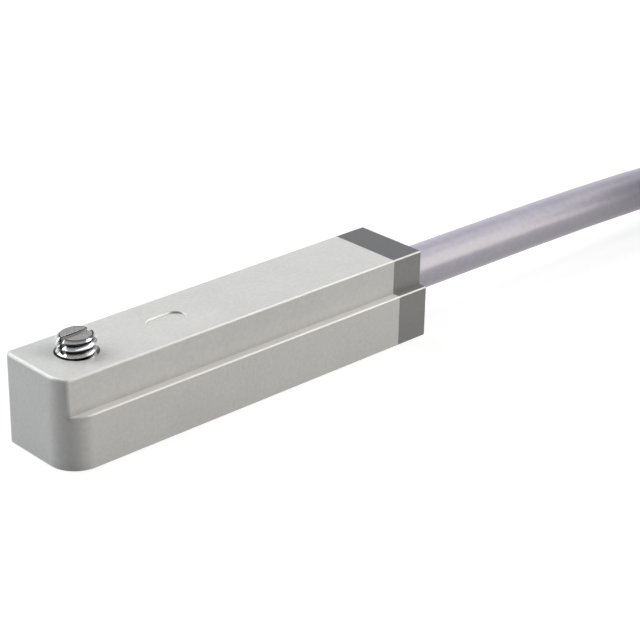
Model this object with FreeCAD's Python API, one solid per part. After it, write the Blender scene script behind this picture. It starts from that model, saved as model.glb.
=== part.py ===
import FreeCAD, Part
import math
import os
from FreeCAD import Vector

# Hall effect sensor that drops into the groove of a cylinder and is clamped by a set screw.
# Millimetres. X runs from the front face to the cable, Z is up, the origin is at the middle
# of the base.

# Outside of the sensor
sensor_length = 28.5
cap_length = 2.4
body_width = 6.0
body_height = 5.7
ledge_width = 0.6
ledge_height = 3.4
near_corner_radius = 1.8
far_corner_radius = 0.45
step_corner_radius = 0.4
front_edge_radius = 0.22
side_edge_radius = 0.1

# Inside of the housing: the cavity clears the crimp sleeve, and the walls are what is left
cavity_side_clearance = 0.17
cavity_roof_clearance = 0.17
cavity_floor_clearance = 0.47
insert_wall = 0.6
cavity_corner_radius = 0.35
rail_depth = 0.25

# Window recess in the roof, and the light well under it
window_length = 2.6
window_width = 1.3
window_depth = 0.12
window_skin = 0.25
window_lip_radius = 0.05

# Clamp screw and its brass insert
screw_from_front = 3.15
screw_diameter = 2.5
screw_length = 6.0
screw_stand_out = 1.1
screw_rim_chamfer = 0.21
screw_point_chamfer = 0.45
slot_width = 0.4
slot_depth = 0.95
thread_clearance = 0.03
screw_hole_clearance = 0.08
insert_diameter = 3.9
insert_height = 4.4
insert_chamfer = 0.2
knurl_depth = 0.12
knurl_teeth = 20
knurl_band = 1.2
knurl_gap = 0.7
insert_seat_clearance = 0.02

# End cap
spigot_length = 1.6
spigot_clearance = 0.05
spigot_groove_depth = 0.12
spigot_groove_width = 0.53
bore_clearance = 0.03
bore_lip_chamfer = 0.15

# Circuit board, between the screw's end of the cavity and the resin
board_front_gap = 0.2
board_rear_gap = 0.6
board_thickness = 0.6
board_below_cable = 0.8
board_rail_clearance = 0.05
land_thickness = 0.05

# Places of the parts as shares of the board's length
hall_chip_place = 0.118
window_place = 0.2774
transistor_place = 0.445
diode_place = 0.617
resistor_places = (0.704, 0.763)
top_capacitor_place = 0.7335
under_capacitor_places = (0.226, 0.445)

# Parts on the board
chip_length = 2.9
chip_width = 1.3
chip_height = 1.0
chip_lead_span = 2.4
chip_lead_width = 0.4
chip_lead_thickness = 0.12
chip_lead_pitch = 0.95
chip_foot = 0.35
chip_draft = 0.1
chip_stand_off = 0.06
diode_length = 1.7
diode_width = 1.25
diode_height = 0.9
diode_span = 2.5
diode_end_width = 0.3
led_length = 1.6
led_width = 0.8
led_base_height = 0.25
led_lens_length = 1.1
led_lens_height = 0.4
led_lens_draft = 0.08
led_land_length = 0.3
foot_land_margin = 0.1
plating_lip = 0.03
resistor_length = 1.0
resistor_width = 0.5
resistor_height = 0.35
resistor_end = 0.2
resistor_side_offset = 1.0
capacitor_length = 1.0
capacitor_width = 0.5
capacitor_height = 0.5

# Cable, its cores and what holds it
cable_diameter = 3.0
cable_rise = 0.15
jacket_inside = 5.1
core_diameter = 0.84
core_spacing = 0.92
core_board_gap = 0.03
conductor_diameter = 0.48
core_fit = 0.01
bared_length = 1.25
strip_from_board_rear = 0.7
solder_length = 1.1
solder_width = 0.7
solder_height = 0.8
solder_slope = ((0.0, 1.0), (0.5, 0.85), (1.0, 0.4))
sleeve_length = 2.0
sleeve_wall = 0.3
sleeve_from_jacket_end = 0.6
sleeve_groove_depth = 0.1
sleeve_groove_width = 0.33
sleeve_groove_spacing = 0.8
resin_clearance = 0.02
resin_ahead_of_jacket = 0.8

# Course of the cable: share of the way to the hank, share of its fall to the floor
cable_course = ((0.058, 0.0), (0.452, 0.136), (0.673, 0.68), (0.856, 1.0))
bend_share = 0.45
entry_turn_in = 0.3
entry_overlap = 0.15

# Put-away hank of the cable
hank_start = 52.0
hank_run = 59.4
outer_turn_radius = 12.6
turn_gap = 0.15
layer_gap = 0.05
hank_layers = 7
waist_half_width = 5.1
hank_edge_radius = 1.0
hank_lay_gap = 0.03
tie_width = 4.5
tie_thickness = 0.8
tie_clearance = 0.05
tie_head_length = 5.0
tie_head_width = 4.8
tie_head_height = 2.4
tie_head_corner = 0.5
tie_tail_length = 3.0
tie_tail_width = 3.9
tie_tail_lift = 1.0
tie_channel_margin = 0.25
free_core_angle = 110.0
free_core_start_angle = 78.0
core_tip_angle = 24.0
core_pocket_margin = 6.0
core_side_gap = 0.12
free_core_slope = 2.33

# Places worked out from the sizes above
front = -sensor_length / 2
rear = sensor_length / 2
cap_front = rear - cap_length
near_side = -body_width / 2
far_side = body_width / 2
step_side = near_side + ledge_width
middle = (step_side + far_side) / 2
screw_radius = screw_diameter / 2
insert_radius = insert_diameter / 2
screw_x = front + screw_from_front
screw_top = body_height + screw_stand_out
cavity_front = screw_x + insert_radius + insert_wall
cable_radius = cable_diameter / 2
cable_height = body_height / 2 + cable_rise
sleeve_inner_radius = cable_radius + bore_clearance
sleeve_outer_radius = sleeve_inner_radius + sleeve_wall
cavity_near = middle - sleeve_outer_radius - cavity_side_clearance
cavity_far = middle + sleeve_outer_radius + cavity_side_clearance
cavity_roof = cable_height + sleeve_outer_radius + cavity_roof_clearance
cavity_floor = cable_height - sleeve_outer_radius - cavity_floor_clearance
jacket_end = cap_front - jacket_inside
resin_front = jacket_end - resin_ahead_of_jacket
board_front = cavity_front + board_front_gap
board_rear = resin_front - board_rear_gap
board_length = board_rear - board_front
board_underside = cable_height - board_below_cable
board_top = board_underside + board_thickness
land_top = board_top + land_thickness
window_x = board_front + window_place * board_length
core_radius = core_diameter / 2
conductor_radius = conductor_diameter / 2
core_height = board_top + land_thickness + core_radius + core_board_gap
core_strip = board_rear - strip_from_board_rear
spigot_front = cap_front - spigot_length
turn_pitch = cable_diameter + turn_gap
layer_pitch = cable_diameter + layer_gap
hank_height = cable_diameter + (hank_layers - 1) * layer_pitch + hank_lay_gap
hank_middle = hank_start + cable_radius + hank_run / 2
hank_side = middle - outer_turn_radius
lobe_offset = hank_run / 2 - outer_turn_radius
inner_turn_radius = outer_turn_radius - turn_pitch

# Route of the cable from inside the housing to the hank's first turn
hank_entry = hank_middle - lobe_offset + entry_overlap
lay_height = cable_radius + hank_lay_gap
cable_route = [Vector(jacket_end, middle, cable_height)]
for way, fall in cable_course:
    point_x = rear + way * (hank_entry - rear)
    point_z = cable_height - fall * (cable_height - lay_height)
    cable_route.append(Vector(point_x, middle, point_z))
cable_route.append(Vector(hank_entry, middle - entry_turn_in, lay_height))


def box(low, high):
    """Box from its lowest to its highest corner."""
    size = [high[i] - low[i] for i in range(3)]
    return Part.makeBox(size[0], size[1], size[2], Vector(*low))


def upright_cylinder(radius, height, x, y, z):
    """Cylinder along Z that starts at the height z."""
    return Part.makeCylinder(radius, height, Vector(x, y, z))


def level_cylinder(radius, x_from, x_to, y, z):
    """Cylinder along X."""
    return Part.makeCylinder(radius, x_to - x_from, Vector(x_from, y, z), Vector(1, 0, 0))


def rounded_edges(shape, radius, chosen):
    """The shape with the edges that the test chooses rounded."""
    edges = [edge for edge in shape.Edges if chosen(edge.BoundBox)]
    return shape.makeFillet(radius, edges)


def near(a, b):
    return abs(a - b) < 1e-4


def is_upright(b):
    return b.XLength < 1e-4 and b.YLength < 1e-4


def runs_along_x(b):
    return b.YLength < 1e-4 and b.ZLength < 1e-4


def save(shape, name):
    """Writes one node."""
    shape.exportStep(os.path.join("parts", name + ".step"))
    print(f"{name}: {len(shape.Solids)} solid, {shape.Volume:.2f} mm3, valid {shape.isValid()}")


def stepped_profile():
    """The sensor's stepped cross-section, at X zero."""
    corners = [
        Vector(0, near_side, 0),
        Vector(0, far_side, 0),
        Vector(0, far_side, body_height),
        Vector(0, step_side, body_height),
        Vector(0, step_side, ledge_height),
        Vector(0, near_side, ledge_height),
    ]
    return Part.Face(Part.makePolygon(corners + corners[:1]))


def long_outer_edge(b):
    """Top edges and the ledge's outer edge, the ones that a finger runs along."""
    top = near(b.ZMin, body_height) and near(b.ZMax, body_height)
    ledge = near(b.ZMin, ledge_height) and near(b.YMax, near_side)
    return runs_along_x(b) and (top or ledge)


def cornered_block(height):
    """Full-width block of the housing's length with its two front corners rounded."""
    block = box((front, near_side, 0), (cap_front, far_side, height))

    def near_corner(b):
        return is_upright(b) and near(b.XMin, front) and near(b.YMin, near_side)

    def far_corner(b):
        return is_upright(b) and near(b.XMin, front) and near(b.YMin, far_side)

    block = rounded_edges(block, near_corner_radius, near_corner)
    return rounded_edges(block, far_corner_radius, far_corner)


def housing_outside():
    """Solid outer form of the housing: a rounded lower part and a narrower upper part stepped back."""
    lower = cornered_block(ledge_height)

    def ledge_edge(b):
        at_ledge = near(b.ZMin, ledge_height) and near(b.ZMax, ledge_height)
        return at_ledge and b.YMax < near_side + near_corner_radius + 1e-3 and b.XMin < cap_front - 1e-3

    lower = rounded_edges(lower, side_edge_radius, ledge_edge)
    upper = cornered_block(body_height)
    upper = upper.cut(box((front - 1, near_side - 1, -1), (cap_front + 1, step_side, body_height + 1)))
    reach = near_corner_radius - ledge_width
    cut_x = front + near_corner_radius - math.sqrt(near_corner_radius**2 - reach**2)

    def step_corner(b):
        return is_upright(b) and near(b.XMin, cut_x) and near(b.YMin, step_side)

    upper = rounded_edges(upper, step_corner_radius, step_corner)
    upper = blended_top_edge(upper)
    return lower.fuse(upper).removeSplitter()


def blended_top_edge(block):
    """Rounds the top edge: wide along the front and round its corners, fine along the sides."""
    model = FreeCAD.newDocument("edges")
    base = model.addObject("Part::Feature", "base")
    base.Shape = block
    fillet = model.addObject("Part::Fillet", "fillet")
    fillet.Base = base
    chosen = []
    for number, edge in enumerate(block.Edges, 1):
        b = edge.BoundBox
        at_top = near(b.ZMin, body_height) and near(b.ZMax, body_height)
        at_rear = near(b.XMin, cap_front)
        if at_top and not at_rear:
            radius = side_edge_radius if runs_along_x(b) else front_edge_radius
            chosen.append((number, radius, radius))
    fillet.Edges = chosen
    model.recompute()
    return fillet.Shape.copy()


def obround(length, width, height, x, y, z):
    """Upright prism with round ends, long along X."""
    half = length / 2 - width / 2
    middle_part = box((x - half, y - width / 2, z), (x + half, y + width / 2, z + height))
    shape = middle_part
    for side in (-1, 1):
        shape = shape.fuse(upright_cylinder(width / 2, height, x + side * half, y, z))
    return shape.removeSplitter()


def cavity(x_from, x_to, clearance):
    """Rounded box that fills the housing's cavity, smaller all round by the clearance."""
    low = (x_from, cavity_near + clearance, cavity_floor + clearance)
    high = (x_to, cavity_far - clearance, cavity_roof - clearance)
    return rounded_edges(box(low, high), cavity_corner_radius, runs_along_x)


def board_rails():
    """Two grooves in the side walls that the circuit board slides into."""
    height = board_thickness + 2 * board_rail_clearance
    low = (cavity_front, cavity_near - rail_depth, board_underside - board_rail_clearance)
    high = (cap_front + 1, cavity_far + rail_depth, board_underside - board_rail_clearance + height)
    return box(low, high)


def housing():
    """Moulded housing: stepped outside, hollow behind the screw, open at the rear."""
    shape = housing_outside()
    hollow = cavity(cavity_front, cap_front + 1, 0)
    shape = shape.cut(hollow.fuse(board_rails()))

    window_floor = body_height - window_depth
    recess = obround(window_length, window_width, window_depth + 1, window_x, middle, window_floor)
    shape = shape.cut(recess)

    def window_lip(b):
        at_top = near(b.ZMin, body_height) and near(b.ZMax, body_height)
        over_window = abs((b.XMin + b.XMax) / 2 - window_x) <= window_length / 2
        inside = b.YMin > middle - window_width and b.YMax < middle + window_width
        return at_top and over_window and inside

    shape = rounded_edges(shape, window_lip_radius, window_lip)
    well_top = window_floor - window_skin
    well_height = well_top - cavity_roof + 1
    well = obround(window_length, window_width, well_height, window_x, middle, cavity_roof - 1)
    shape = shape.cut(well)

    pocket_radius = insert_radius + insert_seat_clearance
    pocket = upright_cylinder(pocket_radius, insert_height + 1, screw_x, middle, -1)
    hole_radius = screw_radius + screw_hole_clearance
    hole = upright_cylinder(hole_radius, body_height + 2, screw_x, middle, -1)
    return shape.cut(pocket).cut(hole)


def end_cap():
    """Rear block with the housing's profile, a spigot that closes the cavity and a bore for the cable."""
    block = stepped_profile().extrude(Vector(cap_length, 0, 0))
    block = rounded_edges(block, side_edge_radius, long_outer_edge)
    block.translate(Vector(cap_front, 0, 0))
    spigot = cavity(spigot_front, cap_front + cap_length / 2, spigot_clearance)
    groove_half = spigot_groove_width / 2
    groove_x = cap_front - spigot_length / 2
    outside = box((groove_x - groove_half, near_side, 0), (groove_x + groove_half, far_side, body_height))
    groove_core = cavity(spigot_front, cap_front, spigot_clearance + spigot_groove_depth)
    spigot = spigot.cut(outside.cut(groove_core))
    shape = block.fuse(spigot)
    bore_radius = cable_radius + bore_clearance
    shape = shape.cut(level_cylinder(bore_radius, spigot_front - 1, rear + 1, middle, cable_height))
    lip = Part.makeCone(
        bore_radius,
        bore_radius + bore_lip_chamfer,
        bore_lip_chamfer,
        Vector(rear - bore_lip_chamfer, middle, cable_height),
        Vector(1, 0, 0),
    )
    return shape.cut(lip)


def clamp_screw():
    """Slotted set screw: the thread is a plain cylinder at its outer diameter."""
    bottom = screw_top - screw_length
    outline = [
        Vector(0, 0, bottom),
        Vector(screw_radius - screw_point_chamfer, 0, bottom),
        Vector(screw_radius, 0, bottom + screw_point_chamfer),
        Vector(screw_radius, 0, screw_top - screw_rim_chamfer),
        Vector(screw_radius - screw_rim_chamfer, 0, screw_top),
        Vector(0, 0, screw_top),
    ]
    half_section = Part.Face(Part.makePolygon(outline + outline[:1]))
    shape = half_section.revolve(Vector(0, 0, 0), Vector(0, 0, 1), 360)
    slot_low = (-screw_diameter, -slot_width / 2, screw_top - slot_depth)
    slot_high = (screw_diameter, slot_width / 2, screw_top + 1)
    shape = shape.cut(box(slot_low, slot_high))
    shape.translate(Vector(screw_x, middle, 0))
    return shape


def knurl_ring(z_from, z_to):
    """Band of upright teeth round the insert, as the solid that is cut away between them."""
    blank = upright_cylinder(insert_radius + 1, z_to - z_from, 0, 0, z_from)
    points = []
    for tooth in range(knurl_teeth):
        for part, radius in ((0.0, insert_radius), (0.5, insert_radius - knurl_depth)):
            angle = 2 * math.pi * (tooth + part) / knurl_teeth
            points.append(Vector(radius * math.cos(angle), radius * math.sin(angle), z_from))
    star = Part.Face(Part.makePolygon(points + points[:1])).extrude(Vector(0, 0, z_to - z_from))
    return blank.cut(star)


def threaded_insert():
    """Brass insert under the roof of the screw's pocket, flush with the base, knurled in two bands."""
    shape = upright_cylinder(insert_radius, insert_height, 0, 0, 0)
    shape = rounded_ends(shape)
    band_space = (insert_height - 2 * knurl_band - knurl_gap) / 2
    for start in (band_space, band_space + knurl_band + knurl_gap):
        shape = shape.cut(knurl_ring(start, start + knurl_band))
    waist = upright_cylinder(insert_radius + 1, knurl_gap, 0, 0, band_space + knurl_band)
    waist_core = upright_cylinder(insert_radius - 2 * knurl_depth, knurl_gap, 0, 0, band_space + knurl_band)
    shape = shape.cut(waist.cut(waist_core))
    bore = upright_cylinder(screw_radius + thread_clearance, insert_height + 2, 0, 0, -1)
    shape = shape.cut(bore)
    shape.translate(Vector(screw_x, middle, 0))
    return shape


def rounded_ends(cylinder):
    """Chamfers both end edges of an upright cylinder."""
    ends = [edge for edge in cylinder.Edges if edge.BoundBox.ZLength < 1e-4]
    return cylinder.makeChamfer(insert_chamfer, ends)


def circuit_board():
    """Board held by its long edges in the housing's grooves."""
    reach = rail_depth - board_rail_clearance
    low = (board_front, cavity_near - reach, board_underside)
    high = (board_front + board_length, cavity_far + reach, board_top)
    return box(low, high)


def land(x, y, length, width):
    """Copper land on top of the board."""
    return box((x - length / 2, y - width / 2, board_top), (x + length / 2, y + width / 2, land_top))


def on_board(place):
    """X of a place that is given as a share of the board's length."""
    return board_front + place * board_length


def chip_feet(x):
    """Centres of the three feet of a small three-legged chip."""
    foot_x = chip_lead_span / 2 - chip_foot / 2
    places = [(x - foot_x, middle - chip_lead_pitch), (x - foot_x, middle + chip_lead_pitch)]
    return places + [(x + foot_x, middle)]


def core_sides():
    """Sideways places of the three cores."""
    return [middle + offset * core_spacing for offset in (-1, 0, 1)]


def solder_lands():
    """All the copper lands that show on top of the board."""
    lands = []
    for place in (hall_chip_place, transistor_place):
        for x, y in chip_feet(on_board(place)):
            lands.append(land(x, y, chip_foot, chip_lead_width + foot_land_margin))
    for side in (-1, 1):
        end_y = middle + side * (diode_span - diode_end_width) / 2
        end_length = diode_end_width + foot_land_margin
        lands.append(land(on_board(diode_place), end_y, end_length, diode_end_width))
        led_y = middle + side * (led_length - led_land_length) / 2
        lands.append(land(window_x, led_y, led_width, led_land_length))
    for y in core_sides():
        lands.append(land(core_strip - bared_length / 2, y, solder_length + foot_land_margin, solder_width))
    return Part.makeCompound(lands)


def moulded_body(x, y, z, length_x, length_y, height):
    """Moulded chip body: two shallow tapered halves that meet at the leads."""
    def outline(level, inset):
        half_x = length_x / 2 - inset
        half_y = length_y / 2 - inset
        corners = [(-half_x, -half_y), (half_x, -half_y), (half_x, half_y), (-half_x, half_y)]
        points = [Vector(x + a, y + b, level) for a, b in corners]
        return Part.makePolygon(points + points[:1])

    parting = z + height / 2
    lower = Part.makeLoft([outline(z, chip_draft), outline(parting, 0)], True)
    upper = Part.makeLoft([outline(parting, 0), outline(z + height, chip_draft)], True)
    return lower.fuse(upper).removeSplitter()


def chip_body(x):
    base = land_top + chip_stand_off
    return moulded_body(x, middle, base, chip_width, chip_length, chip_height)


def gull_lead(x, y, side):
    """Bent lead from the side of a chip's body down to its land."""
    body_face = chip_width / 2
    tip = chip_lead_span / 2
    exit_height = land_top + chip_stand_off + chip_height / 2
    knee = tip - chip_foot
    t = chip_lead_thickness
    outline = [
        (body_face, exit_height - t / 2),
        (knee - t, exit_height - t / 2),
        (knee - t, land_top),
        (tip, land_top),
        (tip, land_top + t),
        (knee, land_top + t),
        (knee, exit_height + t / 2),
        (body_face, exit_height + t / 2),
    ]
    points = [Vector(x + side * a, y - chip_lead_width / 2, b) for a, b in outline]
    return Part.Face(Part.makePolygon(points + points[:1])).extrude(Vector(0, chip_lead_width, 0))


def chip_leads(x):
    leads = [gull_lead(x, middle + side * chip_lead_pitch, -1) for side in (-1, 1)]
    leads.append(gull_lead(x, middle, 1))
    return Part.makeCompound(leads)


def diode_body():
    base = land_top + chip_stand_off
    return moulded_body(on_board(diode_place), middle, base, diode_width, diode_length, diode_height)


def diode_ends():
    """Flat ribbons that come out of the diode's ends and fold down to the board."""
    x = on_board(diode_place)
    t = chip_lead_thickness
    exit_height = land_top + chip_stand_off + diode_height / 2
    ends = []
    for side in (-1, 1):
        outline = [
            (diode_length / 2, exit_height - t / 2),
            (diode_span / 2 - t, exit_height - t / 2),
            (diode_span / 2 - t, land_top),
            (diode_span / 2, land_top),
            (diode_span / 2, exit_height + t / 2),
            (diode_length / 2, exit_height + t / 2),
        ]
        points = [Vector(x - diode_end_width / 2, middle + side * a, b) for a, b in outline]
        ribbon = Part.Face(Part.makePolygon(points + points[:1]))
        ends.append(ribbon.extrude(Vector(diode_end_width, 0, 0)))
    return Part.makeCompound(ends)


def indicator_led():
    """Base of the indicator, under the window."""
    low = (window_x - led_width / 2, middle - led_length / 2, land_top)
    high = (window_x + led_width / 2, middle + led_length / 2, land_top + led_base_height)
    return box(low, high)


def indicator_led_lens():
    """Tapered clear lens on the indicator's base."""
    base = land_top + led_base_height
    wires = []
    for level, inset in ((base, 0), (base + led_lens_height, led_lens_draft)):
        half_x = led_width / 2 - inset
        half_y = led_lens_length / 2 - inset
        corners = [(-half_x, -half_y), (half_x, -half_y), (half_x, half_y), (-half_x, half_y)]
        points = [Vector(window_x + a, middle + b, level) for a, b in corners]
        wires.append(Part.makePolygon(points + points[:1]))
    return Part.makeLoft(wires, True)


def chip_block(x, y, z, length, width, height, end, along_x):
    """Ceramic chip part whose plated ends stand a little proud of its body."""
    lip = plating_lip
    body = box((-length / 2, -width / 2 + lip, lip), (length / 2, width / 2 - lip, height - lip))
    for side in (-1, 1):
        inner = side * (length / 2 - end)
        outer = side * length / 2
        cap = box((min(inner, outer), -width / 2, 0), (max(inner, outer), width / 2, height))
        body = body.fuse(cap)
    body = body.removeSplitter()
    if not along_x:
        body.rotate(Vector(0, 0, 0), Vector(0, 0, 1), 90)
    body.translate(Vector(x, y, z))
    return body


def chip_resistors():
    parts = []
    for place in resistor_places:
        for side in (-1, 1):
            y = middle + side * resistor_side_offset
            size = (resistor_length, resistor_width, resistor_height, resistor_end)
            parts.append(chip_block(on_board(place), y, board_top, *size, False))
    return Part.makeCompound(parts)


def chip_capacitors():
    size = (capacitor_length, capacitor_width, capacitor_height, resistor_end)
    parts = [chip_block(on_board(top_capacitor_place), middle, board_top, *size, True)]
    for place in under_capacitor_places:
        low = board_underside - capacitor_height
        parts.append(chip_block(on_board(place), middle, low, *size, False))
    return Part.makeCompound(parts)


def core_insulation(y):
    """Insulated stretch of one core, from the jacket's end to where it is stripped."""
    outer = level_cylinder(core_radius, core_strip, jacket_end, y, core_height)
    inner = level_cylinder(conductor_radius + core_fit, core_strip - 1, jacket_end + 1, y, core_height)
    return outer.cut(inner)


def core_conductors():
    """Bare copper of the three cores, through the insulation to the solder joints."""
    ends = []
    for y in core_sides():
        ends.append(level_cylinder(conductor_radius, core_strip - bared_length, jacket_end, y, core_height))
    return Part.makeCompound(ends)


def solder_joints():
    """Mound of solder round each bared end, lofted from the land to a narrow crest."""
    joints = []
    x = core_strip - bared_length / 2
    for y in core_sides():
        wires = []
        for rise, share in solder_slope:
            level = land_top + rise * solder_height
            half_x = solder_length / 2 * share
            half_y = solder_width / 2 * share
            corners = [(-half_x, -half_y), (half_x, -half_y), (half_x, half_y), (-half_x, half_y)]
            points = [Vector(x + a, y + b, level) for a, b in corners]
            wires.append(Part.makePolygon(points + points[:1]))
        mound = Part.makeLoft(wires, True, True)
        bore_radius = conductor_radius + core_fit
        bore = level_cylinder(bore_radius, x - solder_length, x + solder_length, y, core_height)
        joints.append(mound.cut(bore))
    return Part.makeCompound(joints)


def sleeve_ends():
    start = jacket_end + sleeve_from_jacket_end
    return start, start + sleeve_length


def crimp_sleeve():
    """Metal sleeve squeezed onto the jacket, with two crimped grooves."""
    start, end = sleeve_ends()
    outer = sleeve_outer_radius
    shape = level_cylinder(outer, start, end, middle, cable_height)
    for side in (-1, 1):
        x = (start + end + side * sleeve_groove_spacing) / 2
        half = sleeve_groove_width / 2
        band = level_cylinder(outer + 1, x - half, x + half, middle, cable_height)
        core = level_cylinder(outer - sleeve_groove_depth, x - half, x + half, middle, cable_height)
        shape = shape.cut(band.cut(core))
    return shape.cut(level_cylinder(sleeve_inner_radius, start - 1, end + 1, middle, cable_height))


def resin_seal():
    """Cast resin between the board and the end cap, with the cable and cores through it."""
    shape = cavity(resin_front, spigot_front - resin_clearance, resin_clearance)
    jacket_hole = cable_radius + resin_clearance
    shape = shape.cut(level_cylinder(jacket_hole, jacket_end, spigot_front + 1, middle, cable_height))
    sleeve_start, sleeve_end = sleeve_ends()
    sleeve_hole = sleeve_outer_radius + resin_clearance
    shape = shape.cut(level_cylinder(sleeve_hole, sleeve_start, sleeve_end, middle, cable_height))
    for y in core_sides():
        hole_radius = core_radius + resin_clearance
        shape = shape.cut(level_cylinder(hole_radius, resin_front - 1, jacket_end, y, core_height))
    return shape


def tube_path(points):
    """Straight runs joined by tangent arcs, each as large as its two runs allow."""
    edges = []
    at = points[0]
    radii = []
    for before, corner, after in zip(points, points[1:], points[2:]):
        into = (corner - before).normalize()
        out = (after - corner).normalize()
        turn = into.getAngle(out)
        tangent = bend_share * min((corner - before).Length, (after - corner).Length)
        radius = tangent / math.tan(turn / 2)
        start = corner - into * tangent
        end = corner + out * tangent
        bisector = (out - into).normalize()
        centre_distance = math.hypot(radius, tangent)
        middle_point = corner + bisector * (centre_distance - radius)
        edges.append(Part.LineSegment(at, start).toShape())
        edges.append(Part.Arc(start, middle_point, end).toShape())
        at = end
        radii.append(radius)
    edges.append(Part.LineSegment(at, points[-1]).toShape())
    return Part.Wire(edges), radii


def cable():
    """Round cable along its route, from inside the housing to the hank."""
    path, radii = tube_path(cable_route)
    print("cable radii:", ", ".join(f"{radius:.0f}" for radius in radii), "mm")
    first = cable_route[0]
    along = (cable_route[1] - first).normalize()
    ring = Part.Wire(Part.Circle(first, along, cable_radius).toShape())
    tube = path.makePipeShell([ring], True, True)
    section = math.pi * cable_radius**2
    print(f"cable length {path.Length:.2f} mm, volume over section {tube.Volume / section:.2f} mm")
    return tube


def hank_outline(reach):
    """Closed line round the hank: two end lobes and the two hollow arcs of the waist that touch them."""
    narrowing = outer_turn_radius - waist_half_width
    span = lobe_offset**2 + waist_half_width**2 - outer_turn_radius**2
    waist_radius = span / (2 * narrowing)
    touch = (outer_turn_radius + reach) / (outer_turn_radius + waist_radius)
    touch_x = lobe_offset * (1 - touch)
    touch_y = (waist_half_width + waist_radius) * touch
    lobe_end = lobe_offset + outer_turn_radius + reach
    waist = waist_half_width + reach
    arcs = []
    for side in (1, -1):
        lobe = ((side * touch_x, -side * touch_y), (side * lobe_end, 0), (side * touch_x, side * touch_y))
        hollow = ((side * touch_x, side * touch_y), (0, side * waist), (-side * touch_x, side * touch_y))
        for places in (lobe, hollow):
            points = [Vector(hank_middle + x, hank_side + y, 0) for x, y in places]
            arcs.append(Part.Arc(*points).toShape())
    return Part.Wire(arcs)


def core_orbits():
    """Radii at which the three free cores lie round the hank's far lobe."""
    outermost = inner_turn_radius + cable_radius - core_radius - core_side_gap
    return [outermost - place * (core_diameter + core_side_gap) for place in range(3)]


def hank_solid():
    """Outer form of the folded cable: lobes, waist, an eye in each lobe and the channel of its tie."""
    outside = Part.Face(hank_outline(cable_radius))
    shape = outside.extrude(Vector(0, 0, hank_height))
    rims = [edge for edge in shape.Edges if edge.BoundBox.ZLength < 1e-3]
    shape = shape.makeFillet(hank_edge_radius, rims)
    eye_radius = inner_turn_radius - cable_radius
    for side in (-1, 1):
        x = hank_middle + side * lobe_offset
        shape = shape.cut(upright_cylinder(eye_radius, hank_height + 2, x, hank_side, -1))
    channel = tie_width + 2 * tie_channel_margin
    low = (hank_middle - channel / 2, hank_side - hank_run, -1)
    high = (hank_middle + channel / 2, hank_side + hank_run, hank_height + 1)
    shape = shape.cut(box(low, high).cut(waist_section(0, channel)))
    return shape.cut(free_core_pocket())


def free_core_pocket():
    """Place on top of the far lobe where the last inner turn is missing and the free cores lie."""
    lobe_x = hank_middle + lobe_offset
    floor = hank_height - layer_pitch
    radius = inner_turn_radius + cable_radius
    sweep = free_core_angle + core_tip_angle + core_pocket_margin
    first = free_core_start_angle - sweep
    section = Part.makePolygon(
        [
            Vector(0, 0, floor),
            Vector(radius, 0, floor),
            Vector(radius, 0, hank_height + 1),
            Vector(0, 0, hank_height + 1),
            Vector(0, 0, floor),
        ]
    )
    pocket = Part.Face(section).revolve(Vector(0, 0, 0), Vector(0, 0, 1), sweep)
    pocket.rotate(Vector(0, 0, 0), Vector(0, 0, 1), first)
    pocket.translate(Vector(lobe_x, hank_side, 0))
    return pocket


def waist_section(grow, length):
    """Rounded block that fills the squeezed waist inside the tie, grown all round."""
    half = waist_half_width + cable_radius + tie_clearance + grow
    low = (hank_middle - length / 2, hank_side - half, tie_thickness - grow)
    high = (hank_middle + length / 2, hank_side + half, hank_height + grow)
    return rounded_edges(box(low, high), hank_edge_radius + grow, runs_along_x)


def hank_tie():
    """Flat strap round the hank's waist, with its lock head and the cut end of its tail on top."""
    strap = waist_section(tie_thickness, tie_width).cut(waist_section(0, tie_width + 2))
    top = hank_height
    low = (hank_middle - tie_head_length / 2, hank_side - tie_head_width / 2, top)
    high = (hank_middle + tie_head_length / 2, hank_side + tie_head_width / 2, top + tie_head_height)
    head = rounded_edges(box(low, high), tie_head_corner, is_upright)
    tail_side = hank_side + tie_head_width / 2
    tail_low = (hank_middle - tie_tail_width / 2, tail_side - tie_head_corner, top + tie_tail_lift)
    tail_high = (
        hank_middle + tie_tail_width / 2,
        tail_side + tie_tail_length,
        top + tie_tail_lift + tie_thickness,
    )
    return strap.fuse(head).fuse(box(tail_low, tail_high)).removeSplitter()


def free_core(orbit, from_angle, to_angle, radius):
    """Round core in an arc round the hank's far lobe, that slopes down from the jacket's end."""
    ring = Part.Face(Part.Wire(Part.Circle(Vector(orbit, 0, 0), Vector(0, 1, 0), radius).toShape()))
    ring.rotate(Vector(0, 0, 0), Vector(0, 0, 1), from_angle)
    arc = ring.revolve(Vector(0, 0, 0), Vector(0, 0, 1), to_angle - from_angle)
    start = math.radians(free_core_start_angle)
    arc.rotate(Vector(0, 0, 0), Vector(math.sin(start), -math.cos(start), 0), free_core_slope)
    tip_turn = math.radians(free_core_angle + core_tip_angle)
    tip_drop = -core_orbits()[0] * math.sin(math.radians(free_core_slope)) * math.cos(tip_turn)
    rest = hank_height - layer_pitch + core_radius + hank_lay_gap
    arc.translate(Vector(hank_middle + lobe_offset, hank_side, rest + tip_drop))
    return arc


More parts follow.
